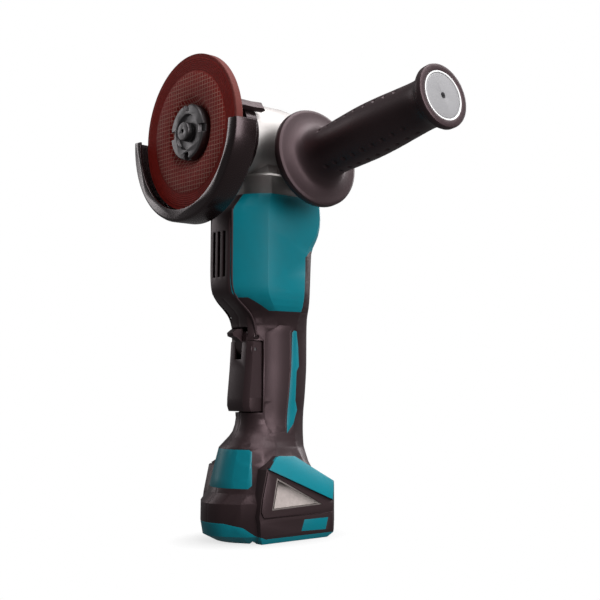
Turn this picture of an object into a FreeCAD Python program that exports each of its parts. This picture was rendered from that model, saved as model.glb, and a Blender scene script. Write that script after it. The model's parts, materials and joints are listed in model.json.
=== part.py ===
import FreeCAD, Part
import math
import os

# Cordless angle grinder with a paddle switch, standing on its battery foot.
# Millimetres. The motor axis is the Z axis, the wheel faces -Y and the side handle points +X.
# The origin is where the motor axis meets the plane on which the foot rests.

V = FreeCAD.Vector
X_AXIS = V(1, 0, 0)
Y_AXIS = V(0, 1, 0)
Z_AXIS = V(0, 0, 1)

# ---------------------------------------------------------------- driving dimensions

RUN = 0.05                      # radial clearance of a running fit
SPINDLE_Z = 297.6               # height of the spindle axis above the foot
WHEEL_R = 57.5                  # 115 mm grinding wheel
WHEEL_T = 6.0
WHEEL_FACE_Y = -76.2            # working face of the wheel
WHEEL_DISH = 4.7                # how far the centre is depressed
HUB_SEAT_Y = WHEEL_FACE_Y + WHEEL_DISH
WHEEL_BACK_Y = HUB_SEAT_Y + WHEEL_T
BORE_R = 11.115                 # 22.23 mm wheel bore
THREAD_R = 6.9                  # M14 spindle thread
SPINDLE_TIP_Y = -82.4
NUT_R = 20.5
NUT_FACE_Y = -79.0

GUARD_R = 66.4
GUARD_FRONT_Y = -83.1
GUARD_BACK_Y = -63.4
GUARD_LIP_R = 57.3
GUARD_SHEET = 1.8
GUARD_START = 178.0             # the skirt covers this angle round to GUARD_END, through the bottom
GUARD_END = 358.6

COLLAR_R = 24.0                 # neck of the bearing box that the guard turns on
COLLAR_FRONT_Y = -61.5
COLLAR_BACK_Y = -46.0
BOX_SCREW_R = 1.75
HEAD_R = 29.5                   # gear head barrel round the spindle axis
HEAD_FRONT_Y = -36.0
HEAD_BARREL_END_Y = 1.0
HEAD_REAR_Y = 21.0
HEAD_WALL = 3.6

GEAR_MODULE = 1.2
PINION_TEETH = 11
CROWN_TEETH = 37
FACE_WIDTH = 6.5
PINION_PITCH_R = GEAR_MODULE * PINION_TEETH / 2
CROWN_PITCH_R = GEAR_MODULE * CROWN_TEETH / 2
CONE_DISTANCE = math.hypot(PINION_PITCH_R, CROWN_PITCH_R)

MOTOR_SHAFT_R = 4.0
STATOR_R = 25.0
STATOR_BOTTOM_Z = 186.0
STATOR_TOP_Z = 218.0
COIL_OVERHANG = 1.8
FAN_Z = 228.0
SHELL = 2.6

HANDLE_TILT = 9.3               # the side handle leans towards the head by this angle
HANDLE_Z = 271.3                # where its axis crosses the motor axis
BOSS_R = 12.0
BOSS_END = 45.0                 # distance of the boss faces from the motor axis
STUD_R = 4.9                    # M10 side handle stud
FLANGE_BACK = 50.5
FLANGE_FRONT = 56.3
FLANGE_R = 36.9
GRIP_END = 182.3
GRIP_END_R = 22.1
CAP_R = 15.8

PIVOT_Y = -24.5                 # paddle pivot
PIVOT_Z = 149.0
PADDLE_BOTTOM_Z = 94.0
LOCK_PIVOT_Y = -25.0            # lock-off lever pivot, in the paddle
LOCK_PIVOT_Z = 140.0

SADDLE_X = 36.0                 # half width across the dust covers
BAY_HALF = 25.0                 # battery bay
BAY_TOP_Z = 21.0
BAY_FRONT_Y = -36.0

# Outer corners of half a cross-section, from the front flat round to the rear flat, at heights
# down the tool: (height, front, [(half width, depth), ...], rear).
BODY_STATIONS = [
    (255, -37, [(11, -36.6), (17, -33.4), (23.5, -28.9), (28.8, -22.5), (28.8, 24), (24, 28.8)], 30),
    (240, -47.8, [(11, -47.2), (17.2, -41.4), (23.6, -33.8), (29.6, -26), (29.8, 24.2), (24.8, 29)], 30.2),
    (228, -49, [(11, -48.4), (17.2, -42.6), (23.6, -34.6), (30, -26.2), (30, 20.5), (25, 26.6)], 29.8),
    (213, -49.2, [(11, -48.6), (17.2, -42.8), (23.6, -34.7), (30, -26.2), (30, 11), (25, 19.6)], 29.2),
    (190, -49.4, [(10.8, -48.8), (17, -43), (23.4, -34.8), (29.8, -26), (29.8, 9), (24.6, 18.6)], 29),
    (181, -48, [(10.6, -47.4), (16.6, -41.8), (22.8, -33.8), (29.2, -25), (29.4, 8.6), (24.2, 18.4)], 28.9),
    (172, -38.6, [(10.2, -38.1), (15.4, -33.6), (21, -27), (26.6, -18.5), (27.4, 8.2), (22.6, 18.6)], 28.9),
    (164, -30.9, [(9.8, -30.5), (13.9, -26.9), (17.4, -20.4), (22.2, -12.4), (23.6, 7.8), (18.8, 19.6)],
     29.4),
    (152, -29.8, [(9.7, -29.4), (13.3, -26), (15.8, -19), (19.8, -11), (21, 7.4), (16.6, 20.8)], 29.9),
    (130, -29.8, [(9.7, -29.4), (13.3, -26), (15.6, -19), (19.5, -11), (20.7, 7.2), (16.2, 21)], 29.9),
    (106, -29.3, [(9.2, -28.8), (12.9, -25.2), (15.5, -18.6), (19, -10.6), (19.9, 7.2), (15.4, 20.2)],
     28.6),
    (89, -28.6, [(7.8, -27.2), (12.4, -23.2), (15.8, -17.4), (18.4, -9.6), (18.8, 7.4), (14.5, 19.4)], 27),
    (79, -31.4, [(8.6, -29.6), (13.8, -25.2), (17.4, -18.6), (19.6, -10.4), (19.4, 7.6), (14.8, 19.2)],
     26.6),
    (72, -37.6, [(10.4, -35.6), (16.6, -30.6), (20.6, -23), (21.8, -12.4), (20.4, 7.8), (15.2, 19.4)],
     26.5),
    (67, -42.2, [(12, -39.8), (19.8, -34), (24, -26), (24.6, -14), (21.6, 8), (15.6, 19.8)], 26.5),
]
FOOT_STATIONS = [
    (67, -42.2, [(12, -39.8), (19.8, -34), (24, -26), (24.6, -14), (21.6, 8), (15.6, 19.8)], 26.5),
    (56, -45.2, [(12.6, -42.6), (21.4, -36.4), (26.8, -28), (28.4, -15), (26, 12), (18.6, 22)], 28),
    (45, -47.8, [(12.8, -45), (22.8, -38.6), (29.2, -29.8), (31.4, -17), (31, 16), (23, 26)], 31),
    (35.5, -50.2, [(13, -47.2), (23.8, -40.8), (31, -31.4), (34, -19), (34, 20), (26, 31)], 35),
    (28.5, -58, [(13, -54.6), (25, -46.6), (32.8, -35.6), (35.2, -22), (35.2, 22), (28, 33)], 37),
    (14, -58.3, [(13, -54.8), (25, -46.8), (32.8, -35.8), (35.2, -22), (35.2, 22), (28, 33)], 37),
    (5.5, -56.6, [(13, -53), (24.4, -45), (31.8, -34.4), (34.2, -21), (34.2, 21), (27.4, 31)], 34.6),
    (0, -45, [(12, -42.4), (21.6, -36.6), (28.2, -28), (31.2, -17), (32, 19), (26, 27)], 30),
]


# ---------------------------------------------------------------- small helpers

def polygon_face(corners):
    return Part.Face(Part.makePolygon(corners + corners[:1]))


def prism_yz(points, x0, x1):
    """A YZ outline carried along X."""
    face = polygon_face([V(x0, y, z) for y, z in points])
    return face.extrude(V(x1 - x0, 0, 0))


def prism_xz(points, y0, y1):
    """An XZ outline carried along Y."""
    face = polygon_face([V(x, y0, z) for x, z in points])
    return face.extrude(V(0, y1 - y0, 0))


def prism_xy(points, z0, z1):
    """An XY outline carried along Z."""
    face = polygon_face([V(x, y, z0) for x, y in points])
    return face.extrude(V(0, 0, z1 - z0))


def box(x0, x1, y0, y1, z0, z1):
    return Part.makeBox(x1 - x0, y1 - y0, z1 - z0, V(x0, y0, z0))


def rod(radius, start, end):
    """A round bar between two points."""
    run = end - start
    return Part.makeCylinder(radius, run.Length, start, run)


def tube(outer, inner, start, end):
    """A sleeve between two points."""
    return rod(outer, start, end).cut(rod(inner, start, end))


def turned(profile, origin, axis, side):
    """A body of revolution from (radius, distance along the axis) pairs."""
    corners = [origin + side * r + axis * s for r, s in profile]
    return polygon_face(corners).revolve(origin, axis, 360)


def turned_y(profile):
    """Turned about the spindle axis, from (radius, y) pairs."""
    return turned(profile, V(0, 0, SPINDLE_Z), Y_AXIS, X_AXIS)


def turned_z(profile):
    """Turned about the motor axis, from (radius, z) pairs."""
    return turned(profile, V(0, 0, 0), Z_AXIS, X_AXIS)


def on_spindle(y, radius=0.0, angle=0.0):
    """A point at an angle round the spindle axis, counted from +X towards +Z."""
    turn = math.radians(angle)
    return V(radius * math.cos(turn), y, SPINDLE_Z + radius * math.sin(turn))


def rod_y(radius, y0, y1, x=0.0, z=SPINDLE_Z):
    return rod(radius, V(x, y0, z), V(x, y1, z))


def rod_z(radius, z0, z1, x=0.0, y=0.0):
    return rod(radius, V(x, y, z0), V(x, y, z1))


def rod_x(radius, x0, x1, y, z):
    return rod(radius, V(x0, y, z), V(x1, y, z))


def fuse_all(shapes):
    first, *rest = shapes
    return first.multiFuse(rest).removeSplitter() if rest else first


def around(shape, count, origin, axis):
    """Copies of a shape at equal angles about an axis."""
    copies = []
    for i in range(count):
        copy = shape.copy()
        copy.rotate(origin, axis, 360.0 * i / count)
        copies.append(copy)
    return copies


def mirrored(shape):
    return shape.mirror(V(0, 0, 0), X_AXIS)


def coil(radius, wire, height, turns, base, axis):
    """A compression spring standing on a point."""
    helix = Part.makeHelix(height / turns, height, radius)
    start = Part.Wire(Part.makeCircle(wire, V(radius, 0, 0), Y_AXIS))
    spring = Part.Wire(helix).makePipeShell([start], True, True)
    spring.Placement = FreeCAD.Placement(base, FreeCAD.Rotation(Z_AXIS, axis))
    return spring


# ---------------------------------------------------------------- outer form of the body

def station_wire(station, inset):
    """The closed cross-section at one height, drawn in by an inset."""
    z, front, corners, rear = station
    middle = (front + rear) / 2
    depth = (rear - front) / 2
    width = max(x for x, _ in corners)
    shrink_x = (width - inset) / width
    shrink_y = (depth - inset) / depth

    def place(x, y):
        return V(x * shrink_x, middle + (y - middle) * shrink_y, z)

    right = [place(x, y) for x, y in corners]
    left = [place(-x, y) for x, y in corners]
    edges = [Part.Arc(left[0], place(0, front), right[0]).toShape()]
    edges += [Part.makeLine(a, b) for a, b in zip(right, right[1:])]
    edges.append(Part.Arc(right[-1], place(0, rear), left[-1]).toShape())
    edges += [Part.makeLine(a, b) for a, b in zip(left[::-1], left[::-1][1:])]
    return Part.Wire(edges)


def flat_numbers(station):
    z, front, corners, rear = station
    return [front, rear] + [value for corner in corners for value in corner]


def eased(a, b, slope_a, slope_b, t):
    """Cubic between two values, with the given slopes per step at its ends."""
    return ((2 * t - 3) * t * t + 1) * a + ((t - 2) * t + 1) * t * slope_a \
        + (3 - 2 * t) * t * t * b + (t - 1) * t * t * slope_b


def end_slope(before, here, after, gap_before, gap_after):
    """Slope at a station: none where the value turns back, so that nothing overshoots."""
    rise_before = (here - before) / gap_before
    rise_after = (after - here) / gap_after
    if rise_before * rise_after <= 0:
        return 0.0
    return 2 * rise_before * rise_after / (rise_before + rise_after)


def refined(stations, spacing):
    """Extra cross-sections worked out between the given ones, so that the skin curves smoothly."""
    rows = [flat_numbers(station) for station in stations]
    heights = [station[0] for station in stations]
    slopes = []
    for i, row in enumerate(rows):
        if 0 < i < len(rows) - 1:
            gaps = heights[i] - heights[i - 1], heights[i + 1] - heights[i]
            slopes.append([end_slope(a, b, c, *gaps) for a, b, c in zip(rows[i - 1], row, rows[i + 1])])
        else:
            other = 1 if i == 0 else i - 1
            gap = heights[other] - heights[i]
            slopes.append([(b - a) / gap for a, b in zip(row, rows[other])])
    result = []
    for i in range(len(rows) - 1):
        gap = heights[i + 1] - heights[i]
        steps = math.ceil(abs(gap) / spacing)
        for k in range(steps):
            t = k / steps
            values = [eased(a, b, sa * gap, sb * gap, t)
                      for a, b, sa, sb in zip(rows[i], rows[i + 1], slopes[i], slopes[i + 1])]
            corners = list(zip(values[2::2], values[3::2]))
            result.append((heights[i] + gap * t, values[0], corners, values[1]))
    return result + [stations[-1]]


def form(stations, inset=0.0):
    """The solid through a list of cross-sections."""
    return Part.makeLoft([station_wire(station, inset) for station in stations], True, True)


FORMS = {}


def body_form(inset=0.0):
    """The motor housing and the handle in one solid, kept for the next use."""
    if inset not in FORMS:
        FORMS[inset] = form(refined(BODY_STATIONS, 6.0), inset)
    return FORMS[inset].copy()


def saddle_form(inset=0.0):
    """The wide lower block of the foot that carries the two dust covers, its roof falling to the rear."""
    i = inset
    side = [(-33 + i, 0), (-36 + i, 6), (-38.3 + i, 20), (-36.4 + i, 33), (-31.6 + i, 53 - i),
            (-18, 62 - i),
            (0, 61 - i), (37 - i, 41.2 - i), (38.6 - i, 36), (38.6 - i, 12), (36 - i, 5), (29 - i, 0)]
    block = prism_yz(side, -SADDLE_X + i, SADDLE_X - i)
    plan = [(-SADDLE_X, -40), (SADDLE_X, -40), (SADDLE_X, 31), (30, 38), (12, 38.6), (-12, 38.6), (-30, 38),
            (-SADDLE_X, 31)]
    block = block.common(prism_xy(plan, -1, 80))
    undercut = [(SADDLE_X + 1, -1), (31.5, -1), (34.8, 5.5), (SADDLE_X, 15), (SADDLE_X + 1, 15)]
    roof = [V(36, -28, 54 - i), V(36, 31.5, 28.5 - i), V(29, 0, 61.4 - i)]
    normal = (roof[1] - roof[0]).cross(roof[2] - roof[0]).normalize()
    slice_face = Part.makePlane(200, 200, roof[0], normal)
    slice_face.translate(roof[0] - slice_face.CenterOfMass)
    chip = slice_face.extrude(normal * 60)
    low = prism_xz(undercut, -60, 60)
    return block.cut([chip, mirrored(chip), low, mirrored(low)])


# ---------------------------------------------------------------- bevel gears

def cone_frame(pitch_angle, axis, radial):
    """Unit vectors along the pitch cone and out of it, towards the tooth tips."""
    along = axis * math.cos(pitch_angle) + radial * math.sin(pitch_angle)
    outward = axis * -math.sin(pitch_angle) + radial * math.cos(pitch_angle)
    return along, outward


def bevel_tooth(pitch_angle, axis, radial, half_widths):
    """One straight tooth: a section at the large end, scaled down towards the cone's apex."""
    apex = V(0, 0, SPINDLE_Z)
    along, outward = cone_frame(pitch_angle, axis, radial)
    across = along.cross(outward)
    levels = [(-1.7, half_widths[0]), (0.0, half_widths[1]), (1.0, half_widths[2])]
    outline = [(h, w) for h, w in levels] + [(h, -w) for h, w in reversed(levels)]
    ends = []
    for scale in (1.0, 1 - FACE_WIDTH / CONE_DISTANCE):
        corners = [apex + (along * CONE_DISTANCE + outward * h + across * w) * scale for h, w in outline]
        ends.append(Part.makePolygon(corners + corners[:1]))
    return Part.makeLoft(ends, True, True)


def bevel_root(pitch_angle):
    """(radius, distance from the apex) of the root cone, a little past the teeth at both ends."""
    depth = 1.4
    past = 0.02
    radius = CONE_DISTANCE * math.sin(pitch_angle) - depth * math.cos(pitch_angle)
    reach = CONE_DISTANCE * math.cos(pitch_angle) + depth * math.sin(pitch_angle)
    small = 1 - FACE_WIDTH / CONE_DISTANCE - past
    large = 1 + past
    return (radius * large, reach * large), (radius * small, reach * small)


def crown_gear():
    angle = math.atan2(CROWN_TEETH, PINION_TEETH)
    large, small = bevel_root(angle)
    blank = turned_y([(7.5, -30), (9.8, -30), (9.8, -17), (20.4, -17), (large[0], -large[1] - 2),
                      (large[0], -large[1]), (small[0], -small[1]), (small[0] - 1, -8.5), (7.5, -8.5)])
    tooth = bevel_tooth(angle, V(0, -1, 0), V(0, 0, -1), (1.3, 0.82, 0.5))
    apex = V(0, 0, SPINDLE_Z)
    tooth.rotate(apex, Y_AXIS, 180.0 / CROWN_TEETH)
    gear = blank.multiFuse(around(tooth, CROWN_TEETH, apex, Y_AXIS))
    holes = around(rod_y(LOCK_PIN_R + 0.6, -18, -5, 0, SPINDLE_Z + LOCK_PIN_OFFSET), 4, apex, Y_AXIS)
    return gear.cut(holes)


def pinion():
    angle = math.atan2(PINION_TEETH, CROWN_TEETH)
    large, small = bevel_root(angle)
    low = SPINDLE_Z - large[1]
    blank = turned_z([(PINION_BORE_R, 267.5), (5.6, 267.5), (5.6, 271), (large[0] + 0.8, low - 1.2),
                      (large[0], low), (small[0], SPINDLE_Z - small[1]),
                      (PINION_BORE_R, SPINDLE_Z - small[1])])
    tooth = bevel_tooth(angle, V(0, 0, -1), V(0, -1, 0), (0.95, 0.8, 0.34))
    return blank.multiFuse(around(tooth, PINION_TEETH, V(0, 0, SPINDLE_Z), Z_AXIS))


# ---------------------------------------------------------------- head: spindle group

LOCK_PIN_OFFSET = 12.5
LOCK_PIN_R = 2.4
PINION_BORE_R = 2.6


def grinding_wheel():
    return turned_y([(11.9, HUB_SEAT_Y), (21, HUB_SEAT_Y), (27, WHEEL_FACE_Y), (WHEEL_R, WHEEL_FACE_Y),
                     (WHEEL_R, WHEEL_FACE_Y + WHEEL_T), (28.5, WHEEL_FACE_Y + WHEEL_T),
                     (22.5, WHEEL_BACK_Y), (11.9, WHEEL_BACK_Y)])


def wheel_centre_ring():
    return turned_y([(BORE_R, HUB_SEAT_Y - 0.4), (15, HUB_SEAT_Y - 0.4), (15, HUB_SEAT_Y),
                     (11.9, HUB_SEAT_Y), (11.9, WHEEL_BACK_Y), (BORE_R, WHEEL_BACK_Y)])


def lock_nut():
    seat = HUB_SEAT_Y - 0.4
    nut = turned_y([(THREAD_R + RUN, seat + 2.4), (BORE_R - 0.2, seat + 2.4), (BORE_R - 0.2, seat),
                    (NUT_R, seat),
                    (NUT_R, NUT_FACE_Y + 1), (NUT_R - 1, NUT_FACE_Y), (13.2, NUT_FACE_Y),
                    (12.4, NUT_FACE_Y + 2), (THREAD_R + RUN, NUT_FACE_Y + 2)])
    notch = box(-3, 3, NUT_FACE_Y - 1, NUT_FACE_Y + 3.2, SPINDLE_Z + 15.2, SPINDLE_Z + 30)
    return nut.cut(around(notch, 4, V(0, 0, SPINDLE_Z), Y_AXIS))


def inner_flange():
    return turned_y([(THREAD_R + RUN, -68), (BORE_R - 0.2, -68), (BORE_R - 0.2, WHEEL_BACK_Y),
                     (20, WHEEL_BACK_Y),
                     (20, -61), (18.5, -59.5), (THREAD_R + RUN, -59.5)])


def spindle():
    shaft = turned_y([(0, SPINDLE_TIP_Y), (THREAD_R - 0.7, SPINDLE_TIP_Y), (THREAD_R, SPINDLE_TIP_Y + 0.7),
                      (THREAD_R, -77.5), (THREAD_R - 0.6, -77.2), (THREAD_R - 0.6, -76.8), (THREAD_R, -76.5),
                      (THREAD_R, -59.5), (9.5, -59.5), (9.5, -55.5), (7.5, -55.5), (7.5, -8), (7, -8),
                      (7, 6), (5, 7), (5, 17.5), (0, 17.5)])
    return shaft.cut(rod_y(1.6, SPINDLE_TIP_Y - 1, SPINDLE_TIP_Y + 4))


def gear_spacer():
    return turned_y([(7.5, -44.5), (9.5, -44.5), (9.5, -30), (7.5, -30)])


def bearing_outer(shaft_r, outer_r, start, end, ball_r, balls):
    """The outer race, with its ring of balls."""
    run = end - start
    middle = start + run * 0.5
    pitch = (shaft_r + outer_r) / 2
    race = tube(outer_r, pitch + ball_r, start, end)
    side = X_AXIS if abs(run.x) < 1e-6 else Y_AXIS
    ball = Part.makeSphere(ball_r - RUN, middle + side * pitch)
    return Part.makeCompound([race] + around(ball, balls, middle, run))


def bearing_inner(shaft_r, outer_r, start, end, ball_r):
    pitch = (shaft_r + outer_r) / 2
    return tube(pitch - ball_r, shaft_r, start, end)


def needle_bearing():
    """A drawn cup with a ring of needles round the spindle's rear end."""
    cup = turned_y([(6.6, 8.5), (7, 8.5), (7, 18), (5.4, 18), (5.4, 17.6), (6.6, 17.6)])
    needle = rod_y(0.7, 9, 17, 5.85, SPINDLE_Z)
    return Part.makeCompound([cup] + around(needle, 16, V(0, 0, SPINDLE_Z), Y_AXIS))


# ---------------------------------------------------------------- head: fixed pieces

def bearing_box():
    body = turned_y([(21, COLLAR_FRONT_Y), (COLLAR_R, COLLAR_FRONT_Y), (COLLAR_R, COLLAR_BACK_Y),
                     (31.5, COLLAR_BACK_Y), (31.5, HEAD_FRONT_Y), (21, HEAD_FRONT_Y), (21, -44.5),
                     (17.5, -44.5), (17.5, -55.5), (11, -55.5), (11, -58), (21, -58)])
    holes = [rod_y(BOX_SCREW_R + 0.1, COLLAR_BACK_Y - 1, HEAD_FRONT_Y + 1,
                   *screw_place(i)) for i in range(4)]
    return body.cut(holes)


def screw_place(i):
    """X and Z of a bearing box screw."""
    point = on_spindle(0, 27.15, 45 + 90 * i)
    return point.x, point.z


def bearing_box_screws():
    screws = []
    for i in range(4):
        x, z = screw_place(i)
        head = rod_y(3.0, COLLAR_BACK_Y - 2.6, COLLAR_BACK_Y, x, z)
        socket = rod_y(1.5, COLLAR_BACK_Y - 3, COLLAR_BACK_Y - 1, x, z)
        shank = rod_y(BOX_SCREW_R, COLLAR_BACK_Y, HEAD_FRONT_Y + 9, x, z)
        screws.append(head.fuse(shank).cut(socket))
    return Part.makeCompound(screws)


def dust_seal():
    return turned_y([(9.6, -58), (11, -58), (11, -55.5), (9.6, -55.5)])


def bearing_retainer():
    return turned_y([(13, -44.5), (21, -44.5), (21, -42.3), (13, -42.3)])


def handle_axis(side):
    """Direction of a side handle axis; side is 1 for +X and -1 for -X."""
    tilt = math.radians(HANDLE_TILT)
    return V(side * math.cos(tilt), 0, math.sin(tilt))


def along_handle(s, side=1):
    return V(0, 0, HANDLE_Z) + handle_axis(side) * s


NECK_STATIONS = [
    (255, -33.5, [(11, -33), (16.6, -30.8), (22.4, -27), (27.8, -21.4), (27.8, 23), (23.2, 27.8)], 29),
    (269, -33.5, [(11, -33), (16.6, -30.8), (22.4, -27), (27.4, -21.4), (27, 20), (22.2, 25)], 26),
    (271, -32, [(10.4, -31.5), (15.8, -29.4), (21.2, -25.8), (25.6, -20.6), (25.2, 18.4), (20.8, 23.2)],
     24.2),
]
THROAT_STATIONS = [
    (262, -30.5, [(10, -30.1), (14.8, -28.4), (18.6, -25), (21.6, -20.4), (21.6, 16), (18, 20)], 21.6),
    (290, -30.5, [(11, -30.2), (15, -28.8), (18.6, -25.4), (22.4, -20.4), (22.4, 10), (18.4, 14.2)], 15.6),
]


def gear_housing():
    head = turned_y([(0, HEAD_FRONT_Y), (HEAD_R, HEAD_FRONT_Y), (HEAD_R, HEAD_BARREL_END_Y), (28.7, 7),
                     (26.4, 12.5), (22, 17), (16, 20), (0, HEAD_REAR_Y)])
    neck = form(NECK_STATIONS).fuse(form(THROAT_STATIONS))
    bosses = [rod(BOSS_R, along_handle(16, side), along_handle(BOSS_END, side)) for side in (1, -1)]
    button_seat = rod_y(9, 12, 26, 0, SPINDLE_Z + LOCK_PIN_OFFSET)
    body = fuse_all([head, neck, button_seat] + bosses)

    cavity = turned_y([(0, HEAD_FRONT_Y - 1), (24.4, HEAD_FRONT_Y - 1), (24.4, 5), (23.6, 9.5),
                       (19.4, 13.8), (9.6, 14.8),
                       (9.6, 8.5), (7, 8.5), (7, 18), (0, 18)])
    stud_holes = [rod(STUD_R + RUN, along_handle(25, side),
                      along_handle(BOSS_END + 1, side)) for side in (1, -1)]
    shaft_way = [rod_z(7.4, 265, 285), rod_z(11, 259, 266), rod_z(9, 254, 260), rod_z(21, 254, 257.5)]
    lock_way = [rod_y(LOCK_PIN_R + RUN, 5, 27, 0, SPINDLE_Z + LOCK_PIN_OFFSET),
                rod_y(6.9, 19.3, 27, 0, SPINDLE_Z + LOCK_PIN_OFFSET)]
    screw_holes = [rod_y(BOX_SCREW_R, HEAD_FRONT_Y - 1, HEAD_FRONT_Y + 9,
                         *screw_place(i)) for i in range(4)]
    flange_holes = [rod_z(2.1, 254, 262, x, y) for x, y in REAR_FLANGE_SCREWS]
    flange_holes += [rod_z(4.2, 260, 320, x, y) for x, y in REAR_FLANGE_SCREWS]
    flange_holes += [rod_z(2.0, 254, 263, x, y) for x, y in FRONT_FLANGE_SCREWS]
    inside = body.cut([cavity] + stud_holes + shaft_way + lock_way + screw_holes)
    barrel = turned_y([(0, HEAD_FRONT_Y), (HEAD_R, HEAD_FRONT_Y), (HEAD_R, 30), (0, 30)])
    return inside.cut([hole.cut(barrel) for hole in flange_holes])


REAR_FLANGE_SCREWS = [(21.0, 20.0), (-21.0, 20.0)]
FRONT_FLANGE_SCREWS = [(20.0, -24.0), (-20.0, -24.0)]


def gear_housing_screws():
    """Two screws come from the head side at the rear, and two from inside the housing at the front."""
    screws = []
    for x, y in REAR_FLANGE_SCREWS:
        head = rod_z(3.4, 260, 262.6, x, y).cut(rod_z(1.6, 261, 263, x, y))
        screws.append(head.fuse(rod_z(2.0, 243, 260, x, y)))
    for x, y in FRONT_FLANGE_SCREWS:
        head = rod_z(3.4, 246.4, 249, x, y).cut(rod_z(1.6, 246, 248, x, y))
        screws.append(head.fuse(rod_z(2.0, 249, 262, x, y)))
    return Part.makeCompound(screws)


def shaft_lock_button():
    z = SPINDLE_Z + LOCK_PIN_OFFSET
    pin = rod_y(LOCK_PIN_R, -6.5, 25, 0, z)
    cap = turned([(0, 24.6), (6.6, 24.6), (6.8, 25.2), (6.8, 29.2), (5.8, 30.4), (0, 30.9)], V(0, 0, z),
                 Y_AXIS, X_AXIS)
    return pin.fuse(cap)


def shaft_lock_spring():
    return coil(4.2, 0.45, 4.0, 2, V(0, 19.85, SPINDLE_Z + LOCK_PIN_OFFSET), Y_AXIS)


# ---------------------------------------------------------------- wheel guard

CLAMP_ANGLE = 36.0
CLAMP_Y = -56.5


def sector_y(profile, start, end):
    """Turned about the spindle axis through part of a turn."""
    turn = math.radians(start)
    side = V(math.cos(turn), 0, math.sin(turn))
    origin = V(0, 0, SPINDLE_Z)
    corners = [origin + side * r + Y_AXIS * y for r, y in profile]
    return polygon_face(corners).revolve(origin, V(0, -1, 0), end - start)


def wheel_guard():
    front, back, outer, t = GUARD_FRONT_Y, GUARD_BACK_Y, GUARD_R, GUARD_SHEET
    section = [(GUARD_LIP_R, front), (outer - 2.5, front), (outer - 0.7, front + 0.7), (outer, front + 2.5),
               (outer, back - 1.5), (outer - 1.5, back), (23, back), (23, back - t),
               (outer - t - 1, back - t),
               (outer - t, back - t - 1), (outer - t, front + t + 1), (outer - t - 1, front + t),
               (GUARD_LIP_R, front + t)]
    skirt = sector_y(section, GUARD_START, GUARD_END)
    collar = turned_y([(23, back - t), (31, back - t), (31, back), (26.2, back), (26.2, -51.2),
                       (23, -51.2)])
    bore = rod_y(COLLAR_R + RUN, back - t - 1, -50)
    return skirt.fuse(collar).cut(bore).removeSplitter()


def clamp_point(radius, y, across=0.0):
    """A point at the clamp, offset sideways round the collar."""
    turn = math.radians(CLAMP_ANGLE)
    centre = on_spindle(y, radius, CLAMP_ANGLE)
    return centre + V(-math.sin(turn), 0, math.cos(turn)) * across


def clamp_block(r0, r1, y0, y1, half):
    """A block at the clamp between two radii, two depths and two sides."""
    corners = [clamp_point(r0, y0, -half), clamp_point(r1, y0, -half), clamp_point(r1, y1, -half),
               clamp_point(r0, y1, -half)]
    across = clamp_point(0, 0, 1) - clamp_point(0, 0, 0)
    return polygon_face(corners).extrude(across * 2 * half)


def guard_clamp_band():
    band = turned_y([(26.25, -60.6), (28.4, -60.6), (28.4, -52.4), (26.25, -52.4)])
    ears = clamp_block(26.8, 35.5, -60.6, -52.4, 7)
    pin_hole = rod(2.05, clamp_point(31.8, CLAMP_Y, -10), clamp_point(31.8, CLAMP_Y, 10))
    inner = rod_y(26.25, -62, -50)
    return band.fuse(ears).cut([inner, clamp_block(20, 40, -62, -50, 3.4), pin_hole])


def guard_clamp_screw():
    head = rod(3.4, clamp_point(31.8, CLAMP_Y, -9.4), clamp_point(31.8, CLAMP_Y, -7))
    shank = rod(2.0, clamp_point(31.8, CLAMP_Y, -7), clamp_point(31.8, CLAMP_Y, 7.1))
    nut = rod(3.2, clamp_point(31.8, CLAMP_Y, 7.1), clamp_point(31.8, CLAMP_Y, 9.6))
    return fuse_all([head, shank, nut])


def guard_clamp_lever():
    """The cam lever between the clamp's ears; its arm lies back along the gear head."""
    outline = [(29.2, -59.5), (33.6, -60.4), (36.4, -57.5), (36.4, -50), (36.2, -40), (36.8, -31.5),
               (35.0, -29.5),
               (32.4, -31.5), (32.2, -44), (32.4, -51), (29.2, -53.2)]
    half = 3.2
    turn = math.radians(CLAMP_ANGLE)
    across = V(-math.sin(turn), 0, math.cos(turn))
    corners = [clamp_point(r, y, -half) for r, y in outline]
    lever = polygon_face(corners).extrude(across * 2 * half)
    return lever.cut(rod(2.05, clamp_point(31.8, CLAMP_Y, -10), clamp_point(31.8, CLAMP_Y, 10)))


# ---------------------------------------------------------------- motor

def stator_core():
    ring = tube(STATOR_R, 21.2, V(0, 0, STATOR_BOTTOM_Z), V(0, 0, STATOR_TOP_Z))
    tooth = box(13.9, 21.6, -2.6, 2.6, STATOR_BOTTOM_Z, STATOR_TOP_Z)
    shoe = tube(15.6, 14.2, V(0, 0, STATOR_BOTTOM_Z), V(0, 0, STATOR_TOP_Z))
    shoe = shoe.common(box(10, 20, -6, 6, STATOR_BOTTOM_Z, STATOR_TOP_Z))
    poles = around(tooth.fuse(shoe), 6, V(0, 0, 0), Z_AXIS)
    return ring.multiFuse(poles).cut(rod_z(14.2, 180, 225)).removeSplitter()


def stator_coils():
    low, high = STATOR_BOTTOM_Z - COIL_OVERHANG, STATOR_TOP_Z + COIL_OVERHANG
    outer = box(15.9, 20.6, -4.7, 4.7, low, high)
    inner = box(15.8, 21.1, -2.65, 2.65, STATOR_BOTTOM_Z - 0.05, STATOR_TOP_Z + 0.05)
    winding = outer.cut(inner)
    return Part.makeCompound(around(winding, 6, V(0, 0, 0), Z_AXIS))


def rotor_shaft():
    return turned_z([(0, 175.5), (3.4, 175.5), (MOTOR_SHAFT_R, 176.1), (MOTOR_SHAFT_R, 267.5),
                     (PINION_BORE_R, 267.5),
                     (PINION_BORE_R, 281.5), (0, 281.5)])


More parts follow.
